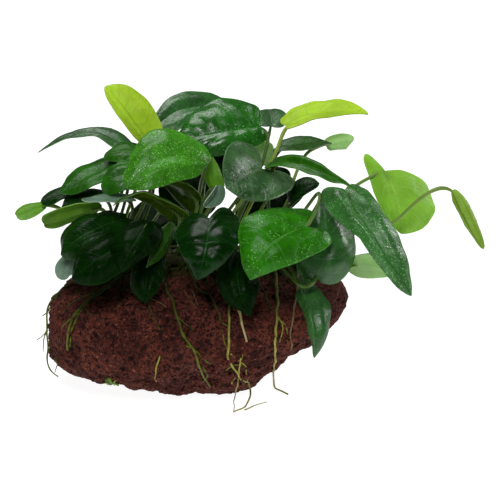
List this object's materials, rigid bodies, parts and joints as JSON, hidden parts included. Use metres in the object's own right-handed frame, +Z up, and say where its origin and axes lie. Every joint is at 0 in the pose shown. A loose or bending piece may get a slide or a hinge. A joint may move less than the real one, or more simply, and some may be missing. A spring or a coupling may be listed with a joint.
{
  "type": "anubias on stone",
  "caption": "Leafy aquarium plant with broad heart-shaped leaves on bare stalks, its creeping stem and roots gripping a porous lava stone.",
  "frame": {"origin": "middle of the stone's flat underside, on the surface it rests on", "axes": "+Z up; +X to the right as seen from the front; the plant's front faces -Y"},
  "size_m": [0.2318, 0.1278, 0.1481],
  "materials": {
    "lava": "matte reddish brown, porous",
    "rhizome": "olive green, ringed",
    "root": "matte, pale yellow-green to brown",
    "leaf_dark": "glossy deep green, wet",
    "leaf_fresh": "glossy mid green, wet",
    "leaf_pale": "satin pale green, thin",
    "leaf_lime": "satin lime green, thin"
  },
  "bodies": {
    "root": {"stone": "lava", "rhizome": "rhizome", "leaf_lime_left": "leaf_lime", "leaf_arching_left": "leaf_dark", "leaf_back_left": "leaf_dark", "leaf_dark_crown": "leaf_dark", "leaf_wet_left": "leaf_fresh", "leaf_left_upper": "leaf_dark", "leaf_left_behind": "leaf_fresh", "leaf_left_blunt": "leaf_dark", "leaf_far_left": "leaf_fresh", "leaf_far_left_dark": "leaf_dark", "leaf_pale_low_left": "leaf_pale", "leaf_left_dark": "leaf_dark", "leaf_left_edge_on": "leaf_dark", "leaf_olive_arch": "leaf_dark", "leaf_olive_thin": "leaf_dark", "leaf_low_left_outer": "leaf_dark", "leaf_low_left_curled": "leaf_dark", "leaf_low_left": "leaf_dark", "leaf_low_middle_left": "leaf_dark", "leaf_low_narrow": "leaf_dark", "leaf_inner_left": "leaf_dark", "leaf_low_shaded": "leaf_dark", "leaf_front_left_glossy": "leaf_dark", "leaf_front_hanging": "leaf_dark", "leaf_round_centre": "leaf_dark", "leaf_folded_young": "leaf_fresh", "leaf_inner_middle": "leaf_dark", "leaf_folded_low": "leaf_dark", "leaf_yellowing": "leaf_pale", "leaf_back_small": "leaf_dark", "leaf_lime_right": "leaf_lime", "leaf_bright_edge_on": "leaf_fresh", "leaf_right_dark": "leaf_dark", "leaf_right_pale_tip": "leaf_pale", "leaf_right_small": "leaf_dark", "leaf_front_heart": "leaf_fresh", "leaf_front_right_dark": "leaf_dark", "leaf_long_wet_right": "leaf_dark", "leaf_translucent_right": "leaf_pale", "leaf_new_rolled": "leaf_pale", "leaf_pale_low_right": "leaf_pale", "leaf_hanging_right": "leaf_dark", "leaf_behind_left": "leaf_dark", "leaf_behind_middle": "leaf_dark", "leaf_behind_right": "leaf_dark", "leaf_behind_low_right": "leaf_dark", "root_left_edge": "root", "root_left_green": "root", "root_pale_left": "root", "root_centre": "root", "root_dark_centre": "root", "root_cream": "root", "root_to_surface": "root", "root_yellow": "root", "root_right_tan": "root"}
  },
  "joints": []
}
